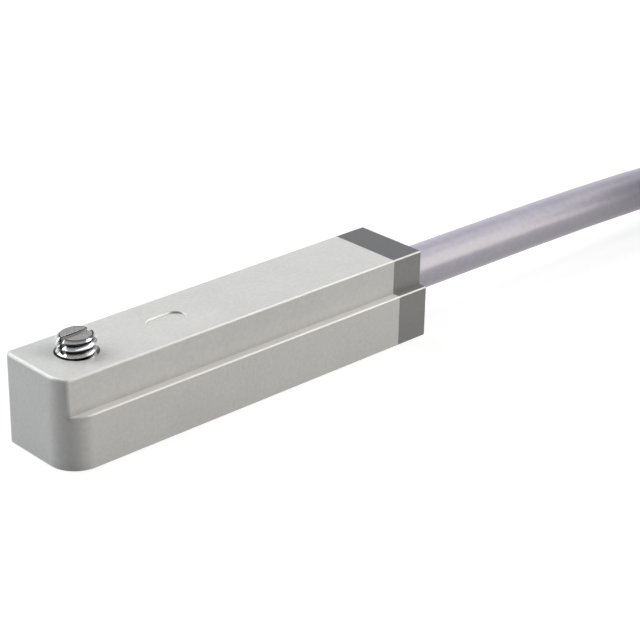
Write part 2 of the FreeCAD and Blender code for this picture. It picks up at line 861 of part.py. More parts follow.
def main():
    save(housing(), "housing")
    save(end_cap(), "end_cap")
    save(clamp_screw(), "clamp_screw")
    save(threaded_insert(), "threaded_insert")
    save(circuit_board(), "circuit_board")
    save(solder_lands(), "solder_lands")
    save(chip_body(on_board(hall_chip_place)), "hall_chip")
    save(chip_leads(on_board(hall_chip_place)), "hall_chip_leads")
    save(chip_body(on_board(transistor_place)), "output_transistor")
    save(chip_leads(on_board(transistor_place)), "output_transistor_leads")
    save(diode_body(), "protection_diode")
    save(diode_ends(), "protection_diode_ends")
    save(indicator_led(), "indicator_led")
    save(indicator_led_lens(), "indicator_led_lens")
    save(chip_resistors(), "chip_resistors")
    save(chip_capacitors(), "chip_capacitors")
    for name, y in zip(("brown", "black", "blue"), core_sides()):
        save(core_insulation(y), "core_" + name)
    save(core_conductors(), "core_conductors")
    save(solder_joints(), "solder_joints")
    save(crimp_sleeve(), "crimp_sleeve")
    save(resin_seal(), "resin_seal")
    save(cable(), "cable")
    save(hank_solid(), "cable_hank")
    save(hank_tie(), "hank_tie")
    tips = []
    angle_end = free_core_start_angle - free_core_angle
    for name, orbit in zip(("brown", "black", "blue"), core_orbits()):
        save(free_core(orbit, free_core_start_angle, angle_end, core_radius), "free_core_" + name)
        tips.append(free_core(orbit, angle_end, angle_end - core_tip_angle, conductor_radius))
    save(Part.makeCompound(tips), "core_tips")


os.makedirs("parts", exist_ok=True)
main()
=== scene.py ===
import math

import bmesh
import bpy
from mathutils import Matrix, Vector


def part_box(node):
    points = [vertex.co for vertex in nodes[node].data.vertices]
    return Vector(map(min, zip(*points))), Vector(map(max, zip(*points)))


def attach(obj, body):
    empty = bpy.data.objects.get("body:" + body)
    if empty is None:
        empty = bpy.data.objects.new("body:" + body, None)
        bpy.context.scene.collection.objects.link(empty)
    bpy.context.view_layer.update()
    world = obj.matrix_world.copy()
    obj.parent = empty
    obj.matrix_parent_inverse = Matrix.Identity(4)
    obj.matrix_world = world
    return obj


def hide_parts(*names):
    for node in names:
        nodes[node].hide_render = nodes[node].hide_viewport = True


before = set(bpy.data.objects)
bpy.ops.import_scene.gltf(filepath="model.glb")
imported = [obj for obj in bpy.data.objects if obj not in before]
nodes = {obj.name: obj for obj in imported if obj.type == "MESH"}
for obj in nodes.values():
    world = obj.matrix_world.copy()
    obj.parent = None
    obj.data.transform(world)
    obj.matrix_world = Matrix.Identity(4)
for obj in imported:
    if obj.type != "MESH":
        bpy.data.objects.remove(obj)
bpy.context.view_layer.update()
mm = 0.001
print("frame loaded:", len(nodes), "nodes")


def tint(red, green, blue):
    # screen colour, 0 to 255, as the linear colour that shaders take
    linear = [((value / 255 + 0.055) / 1.055) ** 2.4 for value in (red, green, blue)]
    return (*linear, 1.0)


def boxCorners(name):
    # lowest and highest corner of a CAD node, in mm
    return [[round(value / mm, 3) for value in corner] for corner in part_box(name)]


# Camera at the photo's viewing angle
cameraSetup = {
    "place": (-69.613, -80.972, 54.198),  # mm
    "heading": 46.316,  # degrees from +X
    "down": 25.007,
    "roll": 1.105,
    "lens": 109.07,
    "sensor": 36.0,
    "clip": (0.005, 20),  # m
}


def placeCamera(setup):
    heading, down, roll = (math.radians(setup[key]) for key in ("heading", "down", "roll"))
    look = Vector((math.cos(down) * math.cos(heading), math.cos(down) * math.sin(heading), -math.sin(down)))
    side = Vector((math.sin(heading), -math.cos(heading), 0))
    up = side.cross(look)
    right = math.cos(roll) * side + math.sin(roll) * up
    top = math.cos(roll) * up - math.sin(roll) * side
    cameraData = bpy.data.cameras.new("photoCamera")
    cameraData.sensor_width = setup["sensor"]
    cameraData.lens = setup["lens"]
    cameraData.clip_start, cameraData.clip_end = setup["clip"]
    camera = bpy.data.objects.new("photoCamera", cameraData)
    bpy.context.scene.collection.objects.link(camera)
    turn = Matrix((right, top, -look)).transposed().to_4x4()
    camera.matrix_world = Matrix.Translation(Vector(setup["place"]) * mm) @ turn
    bpy.context.scene.camera = camera


placeCamera(cameraSetup)
print("camera placed")


# Cable: the route out of the cap, then turns folded into a hank behind the view's edge
cableSizes = {
    "diameter": 3.0,
    "length": 2000.0,
    "exit": (14.25, 0.3, 3.0),
    "route": (
        (6.75, 0.3, 3.0),
        (17.266, 0.3, 3.0),
        (37.754, 0.3, 2.8),
        (49.246, 0.3, 2.0),
        (58.762, 0.3, 1.53),
        (66.25, 0.0, 1.53),
    ),
    "bevelSteps": 5,
    "curveSteps": 3,
}
hankSizes = {
    "middle": (83.2, -12.3),
    "lobeOffset": 17.1,
    "columnRadii": (12.6, 9.45),  # outer, inner
    "waistHalf": 5.1,  # sideways place of the outer column at the waist
    "lobeSteps": 11,
    "waistSteps": 3,
    "layers": 7,
    "lowest": 1.53,
    "layerPitch": 3.05,
    "waistLowest": 2.3,  # the tie lifts and squeezes the layers here
    "waistPitch": 2.92,
    "waistPull": (0.17, -0.5),  # of the squeeze, added at the waist's middle point and at those beside it
    "changeLength": 21.0,  # mm of a turn in which the cable moves to its next place
    "firstChange": 118.0,  # mm from the start of the first turn
    "changeLead": 5.25,  # each change starts this much before the last one
    "endAngle": 76.0,
}


def turnPlaces(hank):
    # (column, layer) of each turn from the bottom up: out, in, in, out and so on
    places = []
    for layer in range(hank["layers"]):
        columns = (0, 1) if layer % 2 == 0 else (1, 0)
        places += [(column, layer) for column in columns]
    return places


def turnArcs(hank):
    # the four arcs of a turn: centre, first angle, sweep, steps, radius of each column, at the waist or not
    offset, half = hank["lobeOffset"], hank["waistHalf"]
    outer, inner = hank["columnRadii"]
    waistRadius = (offset ** 2 + half ** 2 - outer ** 2) / (2 * (outer - half))
    waistCentre = half + waistRadius
    waistRadii = (waistRadius, waistRadius + outer - inner)
    halfLobe = 180 - math.degrees(math.atan2(waistCentre, offset))
    halfWaist = halfLobe - 90
    return (
        ((0, waistCentre), -90 - halfWaist, 2 * halfWaist, hank["waistSteps"], waistRadii, True),
        ((offset, 0), halfLobe, -2 * halfLobe, hank["lobeSteps"], (outer, inner), False),
        ((0, -waistCentre), 90 - halfWaist, 2 * halfWaist, hank["waistSteps"], waistRadii, True),
        ((-offset, 0), 180 + halfLobe, -2 * halfLobe, hank["lobeSteps"], (outer, inner), False),
    )


def easedShare(share):
    # 0 to 1 with a third of the way bent in, a third straight and a third bent out
    share = min(max(share, 0), 1)
    if share < 1 / 3:
        return 2.25 * share ** 2
    if share > 2 / 3:
        return 1 - 2.25 * (1 - share) ** 2
    return 0.25 + 1.5 * (share - 1 / 3)


def hankPoints(hank):
    middleX, middleY = hank["middle"]
    points = []

    def arcPoints(arc, placeAt, wayBefore):
        # control points round an arc; placeAt gives (column, layer) from the way along the turn
        (centreX, centreY), first, sweep, steps, radii, atWaist = arc
        length = math.radians(abs(sweep)) * sum(radii) / 2
        for step in range(steps):
            share = (step + 0.5) / steps
            column, layer = placeAt(wayBefore + share * length)
            radius = radii[0] + column * (radii[1] - radii[0])
            radius /= math.cos(math.radians(sweep / steps / 2))
            angle = math.radians(first + share * sweep)
            height = hank["lowest"] + layer * hank["layerPitch"]
            if atWaist:
                squeezed = hank["waistLowest"] + layer * hank["waistPitch"]
                pull = hank["waistPull"][0 if step == steps // 2 else 1]
                height = squeezed + (squeezed - height) * pull
            points.append((
                middleX + centreX + radius * math.cos(angle),
                middleY + centreY + radius * math.sin(angle),
                height,
            ))
        return wayBefore + length

    places = turnPlaces(hank)
    arcs = turnArcs(hank)
    centre, first, sweep, steps, radii, atWaist = arcs[3]
    entryStep = sweep / steps
    arcPoints((centre, first + sweep - entryStep, entryStep, 1, radii, atWaist), lambda way: places[0], 0)
    for number, (here, after) in enumerate(zip(places, places[1:])):
        change = hank["firstChange"] - number * hank["changeLead"]

        def placeAt(way):
            share = easedShare((way - change) / hank["changeLength"])
            return [a + share * (b - a) for a, b in zip(here, after)]

        way = 0
        for arc in arcs:
            way = arcPoints(arc, placeAt, way)
    centre, first, sweep, steps, radii, atWaist = arcs[1]
    arcPoints(arcs[0], lambda way: places[-1], 0)
    arcPoints((centre, first, hank["endAngle"] - first, 3, radii, atWaist), lambda way: places[-1], 0)
    end = math.radians(hank["endAngle"])
    points.append((
        middleX + centre[0] + radii[1] * math.cos(end),
        middleY + radii[1] * math.sin(end),
        hank["lowest"] + places[-1][1] * hank["layerPitch"],
    ))
    return points


def makeCable(sizes, hank):
    curve = bpy.data.curves.new("lead_cable", "CURVE")
    curve.dimensions = "3D"
    # each point's radius brings this to metres, so that the curve's own box stays tight
    curve.bevel_depth = sizes["diameter"] / 2
    curve.bevel_resolution = sizes["bevelSteps"]
    curve.resolution_u = sizes["curveSteps"]
    curve.use_fill_caps = True
    spline = curve.splines.new("NURBS")
    controls = list(sizes["route"]) + hankPoints(hank)
    spline.points.add(len(controls) - 1)
    for point, control in zip(spline.points, controls):
        point.co = (*(value * mm for value in control), 1.0)
        point.radius = mm
    spline.order_u = 3
    spline.use_endpoint_u = True
    cable = bpy.data.objects.new("lead_cable", curve)
    bpy.context.scene.collection.objects.link(cable)
    return cable


cable = makeCable(cableSizes, hankSizes)
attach(cable, "sensor_body")
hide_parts("cable", "cable_hank")
print("cable wound:", len(cable.data.splines[0].points), "control points")


# Materials
def startMaterial(name):
    material = bpy.data.materials.new(name)
    material.use_nodes = True
    shader = material.node_tree.nodes["Principled BSDF"]
    return material, material.node_tree, shader


def objectPlace(tree):
    # where a point of the surface is, in the frame's metres
    return tree.nodes.new("ShaderNodeTexCoord").outputs["Object"]


def objectNoise(tree, grain, detail=3.0, rough=0.55):
    # noise whose blobs are about grain mm across
    noise = tree.nodes.new("ShaderNodeTexNoise")
    noise.inputs["Scale"].default_value = 1 / (grain * mm)
    noise.inputs["Detail"].default_value = detail
    noise.inputs["Roughness"].default_value = rough
    tree.links.new(objectPlace(tree), noise.inputs["Vector"])
    return noise.outputs["Fac"]


def colourRamp(tree, fac, stops):
    ramp = tree.nodes.new("ShaderNodeValToRGB")
    elements = ramp.color_ramp.elements
    while len(elements) < len(stops):
        elements.new(0.5)
    for element, (place, colour) in zip(elements, stops):
        element.position = place
        element.color = colour
    tree.links.new(fac, ramp.inputs["Fac"])
    return ramp.outputs["Color"]


def valueRange(tree, fac, low, high, fromLow=0.3, fromHigh=0.7):
    remap = tree.nodes.new("ShaderNodeMapRange")
    remap.inputs["From Min"].default_value = fromLow
    remap.inputs["From Max"].default_value = fromHigh
    remap.inputs["To Min"].default_value = low
    remap.inputs["To Max"].default_value = high
    tree.links.new(fac, remap.inputs["Value"])
    return remap.outputs["Result"]


def addBump(tree, shader, fac, strength, depth):
    bump = tree.nodes.new("ShaderNodeBump")
    bump.inputs["Strength"].default_value = strength
    bump.inputs["Distance"].default_value = depth * mm
    tree.links.new(fac, bump.inputs["Height"])
    tree.links.new(bump.outputs["Normal"], shader.inputs["Normal"])


def blendColours(tree, fac, first, second, mode="MIX"):
    mix = tree.nodes.new("ShaderNodeMix")
    mix.data_type = "RGBA"
    mix.blend_type = mode
    if isinstance(fac, float):
        mix.inputs[0].default_value = fac
    else:
        tree.links.new(fac, mix.inputs[0])
    for socket, value in ((mix.inputs[6], first), (mix.inputs[7], second)):
        if isinstance(value, tuple):
            socket.default_value = value
        else:
            tree.links.new(value, socket)
    return mix.outputs[2]


def splitVector(tree, vector):
    parts = tree.nodes.new("ShaderNodeSeparateXYZ")
    tree.links.new(vector, parts.inputs["Vector"])
    return parts.outputs["X"], parts.outputs["Y"], parts.outputs["Z"]


def joinValues(tree, operation, first, second):
    node = tree.nodes.new("ShaderNodeMath")
    node.operation = operation
    tree.links.new(first, node.inputs[0])
    if isinstance(second, float):
        node.inputs[1].default_value = second
    else:
        tree.links.new(second, node.inputs[1])
    return node.outputs["Value"]


def maskBoth(tree, first, second):
    return joinValues(tree, "MULTIPLY", first, second)


def joinVectors(tree, operation, first, second):
    node = tree.nodes.new("ShaderNodeVectorMath")
    node.operation = operation
    tree.links.new(first, node.inputs[0])
    if isinstance(second, tuple):
        node.inputs[1].default_value = second
    else:
        tree.links.new(second, node.inputs[1])
    return node.outputs["Vector"]


def vectorLength(tree, vector):
    node = tree.nodes.new("ShaderNodeVectorMath")
    node.operation = "LENGTH"
    tree.links.new(vector, node.inputs[0])
    return node.outputs["Value"]


def placeDistance(tree, place, weights):
    # distance from a point in mm; an axis with weight 0 doesn't count
    away = joinVectors(tree, "SUBTRACT", objectPlace(tree), tuple(value * mm for value in place))
    return vectorLength(tree, joinVectors(tree, "MULTIPLY", away, weights))


def fadeAcross(tree, value, low, high, places):
    # valueRange between two places in mm
    return valueRange(tree, value, low, high, places[0] * mm, places[1] * mm)


def paintShade(tree, mask, colour, shadeTint):
    # painted shade: the colour, times the shade tint where the mask is 1
    return blendColours(tree, mask, colour, blendColours(tree, 1.0, colour, shadeTint, "MULTIPLY"))


def shadeWindow(tree, colour, window, paintedHighlight):
    # painted highlight along the recess's lip, painted shade in its corner and more painted shade round its
    # rear end
    middle = (*window["middle"], window["top"])
    half = window["halfStraight"] * mm
    place = joinVectors(tree, "SUBTRACT", objectPlace(tree), tuple(value * mm for value in middle))
    onLine = joinVectors(tree, "MINIMUM", place, (half, 0, 0))
    onLine = joinVectors(tree, "MAXIMUM", onLine, (-half, 0, 0))
    away = joinVectors(tree, "MULTIPLY", joinVectors(tree, "SUBTRACT", place, onLine), (1, 1, 0))
    fromRim = joinValues(tree, "SUBTRACT", vectorLength(tree, away), window["endRadius"] * mm)
    along, across, height = splitVector(tree, place)
    shaded = maskBoth(tree, fadeAcross(tree, height, 1.0, 0.0, window["shadeTop"]),
                      fadeAcross(tree, fromRim, 1.0, 0.0, window["shadeTo"]))
    front = fadeAcross(tree, along, 1.0, 0.0, window["rearFrom"])
    rear = fadeAcross(tree, along, 0.0, 1.0, window["rearFrom"])
    far = fadeAcross(tree, across, 0.0, 1.0, window["farFrom"])
    # painted highlight on the lip's front part, painted shade in the recess's far corner, darker again at
    # its rear end
    lip = maskBoth(tree, fadeAcross(tree, fromRim, 0.0, 1.0, window["highlightFrom"]), shaded)
    recessShade = maskBoth(tree, fadeAcross(tree, fromRim, 0.0, 1.0, window["recessShadeFrom"]), shaded)
    recessShade = maskBoth(tree, recessShade, far)
    colour = paintShade(tree, recessShade, colour, window["shadeTint"])
    colour = paintShade(tree, maskBoth(tree, recessShade, rear), colour, window["shadeTint"])
    return blendColours(tree, maskBoth(tree, lip, front), colour, paintedHighlight)


def shadeStep(tree, colour, steps, paintedLedgeLight, paintedHighlight):
    # painted shade in the step's corner, painted light on the ledge, and painted highlights along the two
    # long edges
    near = placeDistance(tree, (0, *steps["corner"]), steps["shadeWeights"])
    colour = paintShade(tree, fadeAcross(tree, near, 1.0, 0.0, steps["shadeReach"]), colour, steps["shadeTint"])
    near = placeDistance(tree, (0, *steps["ledge"]), steps["ledgeWeights"])
    colour = blendColours(tree, fadeAcross(tree, near, paintedLedgeLight, 0.0, steps["ledgeReach"]), colour, paintedHighlight)
    for edge in steps["edges"]:
        near = placeDistance(tree, (0, *edge), (0, 1, 1))
        colour = blendColours(tree, fadeAcross(tree, near, 1.0, 0.0, steps["edgeReach"]), colour, paintedHighlight)
    return colour


def plasticMaterial(name, light, dark, grain=0.25, rough=(0.42, 0.55), bump=0.15, depth=0.01,
                    cloud=4.0, cloudTint=0.06, specular=0.5, paintedTopShade=None, sheen=None,
                    steps=None, paintedLedgeLight=0.0, window=None, paintedHighlight=None):
    # moulded plastic: fine grain over soft wide clouds, with a fine texture from the mould; it can also take
    # painted shade on faces that turn up, painted shade and painted highlights round the step, and in the
    # window recess
    material, tree, shader = startMaterial(name)
    fine = objectNoise(tree, grain, 4.0, 0.6)
    colour = colourRamp(tree, fine, ((0.36, dark), (0.64, light)))
    wide = objectNoise(tree, cloud, 2.0)
    shade = colourRamp(tree, wide, ((0.3, (1 - cloudTint,) * 3 + (1,)), (0.7, (1, 1, 1, 1))))
    colour = blendColours(tree, 1.0, colour, shade, "MULTIPLY")
    # painted shade: faces that turn up are darkened by this tint
    if paintedTopShade:
        geometry = tree.nodes.new("ShaderNodeNewGeometry")
        facing = splitVector(tree, geometry.outputs["Normal"])
        colour = paintShade(tree, valueRange(tree, facing[2], 0.0, 1.0, 0.3, 0.9), colour, paintedTopShade)
    if steps:
        colour = shadeStep(tree, colour, steps, paintedLedgeLight, paintedHighlight)
    if window:
        colour = shadeWindow(tree, colour, window, paintedHighlight)
    tree.links.new(colour, shader.inputs["Base Color"])
    tree.links.new(valueRange(tree, fine, *rough), shader.inputs["Roughness"])
    shader.inputs["Specular IOR Level"].default_value = specular
    if sheen:
        for socket, value in zip(("Sheen Weight", "Sheen Roughness", "Sheen Tint"), sheen):
            shader.inputs[socket].default_value = value
    addBump(tree, shader, objectNoise(tree, grain * 0.6, 2.0), bump, depth)
    return material


def metalMaterial(name, light, dark, grain=0.12, rough=(0.2, 0.35), bump=0.1):
    material, tree, shader = startMaterial(name)
    fine = objectNoise(tree, grain, 4.0, 0.6)
    tree.links.new(colourRamp(tree, fine, ((0.35, dark), (0.65, light))), shader.inputs["Base Color"])
    tree.links.new(valueRange(tree, fine, *rough), shader.inputs["Roughness"])
    shader.inputs["Metallic"].default_value = 1.0
    addBump(tree, shader, fine, bump, 0.005)
    return material


housingLow, housingHigh = boxCorners("housing")
windowSizes = {
    # mm
    "middle": (-4.55, 0.3),
    "halfStraight": 0.65,
    "endRadius": 0.65,
    "top": housingHigh[2],
    "lip": 0.05,  # rounding of the rim as it comes
    "lipGrown": 0.11,
    # how much the painted shade in the recess darkens it
    "shadeTint": (0.7, 0.695, 0.68, 1),
    "shadeTop": (-0.03, -0.01),  # Z from the top face, where the painted highlight and painted shade end
    "shadeTo": (0.09, 0.11),  # out from the rim, where they end
    "highlightFrom": (-0.02, 0.0),  # out from the rim, where the painted highlight begins
    # out from the rim, where the painted shade in the recess's corner begins
    "recessShadeFrom": (-0.1, -0.05),
    "farFrom": (0.0, 0.45),  # from the middle line, where the painted shade begins
    "rearFrom": (0.65, 1.0),  # from the middle, where the painted highlight ends and the painted shade is darker
}
stepPlaces = {
    # Y and Z, mm
    "corner": (-2.4, 3.4),
    "shadeTint": (0.79, 0.785, 0.77, 1),  # how much the painted shade in that corner darkens it
    "shadeReach": (0.02, 0.42),
    "shadeWeights": (0, 4, 1),  # a quarter as far out over the ledge as up the wall
    "ledge": (-2.72, 3.4),  # middle of the ledge's flat, painted a little paler than the sides as painted light
    "ledgeReach": (0.28, 0.34),
    "ledgeWeights": (0, 1, 3),
    "edges": ((-2.4, housingHigh[2]), (housingLow[1], 3.4)),  # painted highlights along their length
    "edgeReach": (0.05, 0.11),
}
# housing and cap: painted shade in the step's corner, painted light on the ledge and painted highlights
# along the step's edges; the housing also gets them round the window recess
housingPlastic = plasticMaterial("paleHousingPlastic", tint(219, 218, 215), tint(211, 210, 207),
                                 rough=(0.275, 0.29), bump=0.05, depth=0.002, specular=1.0,
                                 steps=stepPlaces, paintedLedgeLight=0.38, window=windowSizes,
                                 paintedHighlight=tint(250, 248, 243))
# the cap's faces that turn up are darkened with painted shade
capPlastic = plasticMaterial("darkCapPlastic", tint(121, 120, 117), tint(115, 114, 111),
                             rough=(0.275, 0.3), bump=0.05, depth=0.002, specular=1.0,
                             paintedTopShade=(0.56, 0.57, 0.63, 1), steps=stepPlaces, paintedLedgeLight=0.07,
                             paintedHighlight=tint(236, 235, 231))
jacketPlastic = plasticMaterial("lilacGreyJacket", tint(179, 174, 187), tint(169, 164, 177),
                                grain=0.5, rough=(0.31, 0.39), bump=0.2, specular=1.0,
                                sheen=(0.25, 0.4, tint(222, 218, 255)))  # violet haze towards its edges
nylonTie = plasticMaterial("naturalNylon", tint(228, 226, 216), tint(218, 215, 203), rough=(0.3, 0.42))
boardLaminate = plasticMaterial("greenLaminate", tint(34, 84, 52), tint(26, 70, 42), rough=(0.25, 0.35))
chipEpoxy = plasticMaterial("blackEpoxy", tint(48, 48, 50), tint(38, 38, 40), rough=(0.5, 0.65))
ledBase = plasticMaterial("whiteLedBase", tint(226, 224, 216), tint(214, 212, 203))
ledLens = plasticMaterial("amberLens", tint(232, 196, 96), tint(222, 184, 80), rough=(0.08, 0.16))
resistorBody = plasticMaterial("darkCeramic", tint(52, 54, 60), tint(40, 42, 48), rough=(0.3, 0.4))
capacitorBody = plasticMaterial("tanCeramic", tint(176, 146, 110), tint(160, 130, 96), rough=(0.35, 0.5))
brownSkin = plasticMaterial("brownCoreSkin", tint(112, 66, 40), tint(98, 56, 33), rough=(0.34, 0.46))
blackSkin = plasticMaterial("blackCoreSkin", tint(44, 43, 44), tint(33, 32, 34), rough=(0.34, 0.46))
blueSkin = plasticMaterial("blueCoreSkin", tint(48, 92, 168), tint(40, 80, 150), rough=(0.34, 0.46))
castResin = plasticMaterial("castResin", tint(58, 56, 52), tint(46, 44, 41), rough=(0.12, 0.25))
landCopper = metalMaterial("landCopper", tint(214, 150, 100), tint(190, 128, 84))
bareCopper = metalMaterial("bareCopper", tint(220, 146, 98), tint(196, 124, 80))
tinnedMetal = metalMaterial("tinnedMetal", tint(208, 208, 206), tint(186, 186, 186), rough=(0.28, 0.42))
solderMetal = metalMaterial("solderMetal", tint(200, 200, 202), tint(176, 177, 180), rough=(0.2, 0.36))
turnedBrass = metalMaterial("turnedBrass", tint(206, 176, 106), tint(184, 152, 86), rough=(0.24, 0.38))
crimpSteel = metalMaterial("crimpSteel", tint(196, 196, 198), tint(170, 171, 174), rough=(0.25, 0.4))


# Clamp screw with a real thread
platingSizes = {
    # mm out from the thread's root, in from its crest and up from the head's top
    "shadeFadeFromRoot": 0.02,
    "shadeFadeFromCrest": 0.1,
    "coreTo": (-0.03, -0.015),
    "slotTo": (-0.006, -0.002),
    "slotShadowFrom": (-0.08, -0.07),
    "light": tint(226, 226, 228),
    "dark": tint(206, 206, 208),
    "rootShade": tint(52, 50, 50),
    "slotShade": tint(186, 184, 181),
    "slotShadowLine": tint(46, 45, 45),
    "slotMetal": 0.15,
}


def platedSteel(name, screw, plating):
    # bright plating with painted shade in the thread's root
    # the slot's walls are painted a dull grey shade, with a painted shadow line just under the head's edge
    material, tree, shader = startMaterial(name)
    radius = placeDistance(tree, (*screw["place"], 0), (1, 1, 0))
    outer = screw["diameter"] / 2
    root = outer - screw["threadDepth"]
    shadeFade = (root + plating["shadeFadeFromRoot"], outer - plating["shadeFadeFromCrest"])
    crest = fadeAcross(tree, radius, 0.0, 1.0, shadeFade)
    core = fadeAcross(tree, radius, 1.0, 0.0, [root + value for value in plating["coreTo"]])
    height = splitVector(tree, objectPlace(tree))[2]
    under = fadeAcross(tree, height, 1.0, 0.0, [screw["top"] + value for value in plating["slotTo"]])
    shadowLine = fadeAcross(tree, height, 0.0, 1.0, [screw["top"] + value for value in plating["slotShadowFrom"]])
    inSlot = maskBoth(tree, core, under)
    fine = objectNoise(tree, 0.15, 4.0, 0.6)
    bright = colourRamp(tree, fine, ((0.35, plating["dark"]), (0.65, plating["light"])))
    # painted shade: the thread's root is darkened
    colour = blendColours(tree, joinValues(tree, "MAXIMUM", crest, core), plating["rootShade"], bright)
    # painted shade on the slot's walls and a painted shadow line under the head's edge
    colour = blendColours(tree, inSlot, colour, plating["slotShade"])
    colour = blendColours(tree, maskBoth(tree, inSlot, shadowLine), colour, plating["slotShadowLine"])
    tree.links.new(colour, shader.inputs["Base Color"])
    metal = valueRange(tree, inSlot, 1.0, plating["slotMetal"], 0.0, 1.0)
    tree.links.new(metal, shader.inputs["Metallic"])
    tree.links.new(valueRange(tree, fine, 0.1, 0.2), shader.inputs["Roughness"])
    addBump(tree, shader, fine, 0.08, 0.004)
    return material


screwLow, screwHigh = boxCorners("clamp_screw")
screwSizes = {
    # mm
    "place": [round((low + high) / 2, 2) for low, high in zip(screwLow[:2], screwHigh)],
    "top": screwHigh[2],
    "length": round(screwHigh[2] - screwLow[2], 3),
    "diameter": 2.4,  # over the crests
    "pitch": 0.45,
    "threadDepth": 0.26,
    "crest": 0.07,
    "root": 0.08,
    "stepsPerTurn": 56,
    "rimChamfer": 0.21,
    "pointChamfer": 0.45,
    "slotWidth": 0.4,
    "slotDepth": 0.95,
    "slotLip": 0.012,
    "slotTurn": 2.0,  # degrees from the housing's long axis
    "cutterOver": 0.3,  # the slot's cutter above the head
    "threadPhase": 28.0,  # degrees, turns the crests to the photo's places
    "spareTurns": 2,  # wound past each end before it is cut
    "blankOver": 0.01,
    "blankSteps": 96,
    "sharpAngle": 28.0,
}


def linkMesh(name, bm):
    mesh = bpy.data.meshes.new(name)
    bm.to_mesh(mesh)
    bm.free()
    piece = bpy.data.objects.new(name, mesh)
    bpy.context.scene.collection.objects.link(piece)
    return piece


def spinProfile(profile, steps):
    # closed lathe form about Z from (radius, height) pairs that start and end on the axis
    bm = bmesh.new()
    verts = [bm.verts.new((radius, 0, height)) for radius, height in profile]
    edges = [bm.edges.new(pair) for pair in zip(verts, verts[1:])]
    bmesh.ops.spin(bm, geom=verts + edges, cent=(0, 0, 0), axis=(0, 0, 1), angle=2 * math.pi,
                   steps=steps, use_merge=True, use_duplicate=False)
    bmesh.ops.remove_doubles(bm, verts=bm.verts, dist=1e-4)
    bmesh.ops.recalc_face_normals(bm, faces=bm.faces)
    return bm


def threadTube(sizes):
    # in mm: one pitch of the profile, spun upwards in a helix and closed at both ends
    outer = sizes["diameter"] / 2
    inner = outer - sizes["threadDepth"]
    pitch = sizes["pitch"]
    flank = (pitch - sizes["crest"] - sizes["root"]) / 2
    heights = (0, sizes["root"], sizes["root"] + flank, pitch - flank, pitch)
    radii = (inner, inner, outer, outer, inner)
    turns = math.ceil(sizes["length"] / pitch) + 2 * sizes["spareTurns"]
    bottom = sizes["top"] - sizes["length"] - sizes["spareTurns"] * pitch
    bm = bmesh.new()
    verts = [bm.verts.new((radius, 0, bottom + height)) for radius, height in zip(radii, heights)]
    edges = [bm.edges.new(pair) for pair in zip(verts, verts[1:])]
    steps = sizes["stepsPerTurn"]
    bmesh.ops.spin(bm, geom=verts + edges, cent=(0, 0, 0), axis=(0, 0, 1), angle=2 * math.pi * turns,
                   dvec=(0, 0, pitch / steps), steps=steps * turns, use_merge=False, use_duplicate=False)
    bmesh.ops.remove_doubles(bm, verts=bm.verts, dist=1e-3)
    for height, outward in ((bottom + 1.5 * pitch, -1), (sizes["top"] + pitch, 1)):
        bmesh.ops.bisect_plane(bm, geom=bm.verts[:] + bm.edges[:] + bm.faces[:], dist=1e-6,
                               plane_co=(0, 0, height), plane_no=(0, 0, outward), clear_outer=True)
        rim = [edge for edge in bm.edges if edge.is_boundary
               and all(abs(vert.co.z - height) < 1e-4 for vert in edge.verts)]
        bmesh.ops.contextual_create(bm, geom=rim)
    bmesh.ops.rotate(bm, verts=bm.verts, cent=(0, 0, 0),
                     matrix=Matrix.Rotation(math.radians(sizes["threadPhase"]), 3, "Z"))
    bmesh.ops.recalc_face_normals(bm, faces=bm.faces)
    return bm


def slotCutter(sizes):
    half = sizes["slotWidth"] / 2
    lip, over = sizes["slotLip"], sizes["cutterOver"]
    top = sizes["top"]
    section = [(-half, top - sizes["slotDepth"]), (half, top - sizes["slotDepth"]), (half, top - lip),
               (half + lip + over, top + over), (-half - lip - over, top + over), (-half, top - lip)]
    bm = bmesh.new()
    verts = [bm.verts.new((-sizes["diameter"], y, z)) for y, z in section]
    face = bm.faces.new(verts)
    grown = bmesh.ops.extrude_face_region(bm, geom=[face])["geom"]
    bmesh.ops.translate(bm, verts=[item for item in grown if isinstance(item, bmesh.types.BMVert)],
                        vec=(2 * sizes["diameter"], 0, 0))
    bmesh.ops.rotate(bm, verts=bm.verts, cent=(0, 0, 0),
                     matrix=Matrix.Rotation(math.radians(sizes["slotTurn"]), 3, "Z"))
    bmesh.ops.recalc_face_normals(bm, faces=bm.faces)
    return bm


def booleanPiece(base, other, operation):
    cut = base.modifiers.new(operation.lower(), "BOOLEAN")
    cut.operation = operation
    cut.object = other
    cut.solver = "EXACT"
    bpy.context.view_layer.update()
    evaluated = base.evaluated_get(bpy.context.evaluated_depsgraph_get())
    mesh = bpy.data.meshes.new_from_object(evaluated)
    base.modifiers.clear()
    base.data = mesh
    bpy.data.objects.remove(other)


def makeScrew(sizes):
    bottom = sizes["top"] - sizes["length"]
    radius = sizes["diameter"] / 2 + sizes["blankOver"]
    rim, point = sizes["rimChamfer"], sizes["pointChamfer"]
    blank = linkMesh("screwBlank", spinProfile(
        [(0, bottom), (radius - point, bottom), (radius, bottom + point),
         (radius, sizes["top"] - rim), (radius - rim, sizes["top"]), (0, sizes["top"])],
        sizes["blankSteps"]))
    screw = linkMesh("clamp_screw_threaded", threadTube(sizes))
    booleanPiece(screw, blank, "INTERSECT")
    booleanPiece(screw, linkMesh("slotCutter", slotCutter(sizes)), "DIFFERENCE")
    place = Matrix.Translation((sizes["place"][0] * mm, sizes["place"][1] * mm, 0))
    screw.data.transform(place @ Matrix.Scale(mm, 4))
    screw.data.shade_smooth()
    screw.data.set_sharp_from_angle(angle=math.radians(sizes["sharpAngle"]))
    screw.data.materials.clear()
    screw.data.materials.append(platedSteel("brightPlatedSteel", sizes, platingSizes))
    return screw


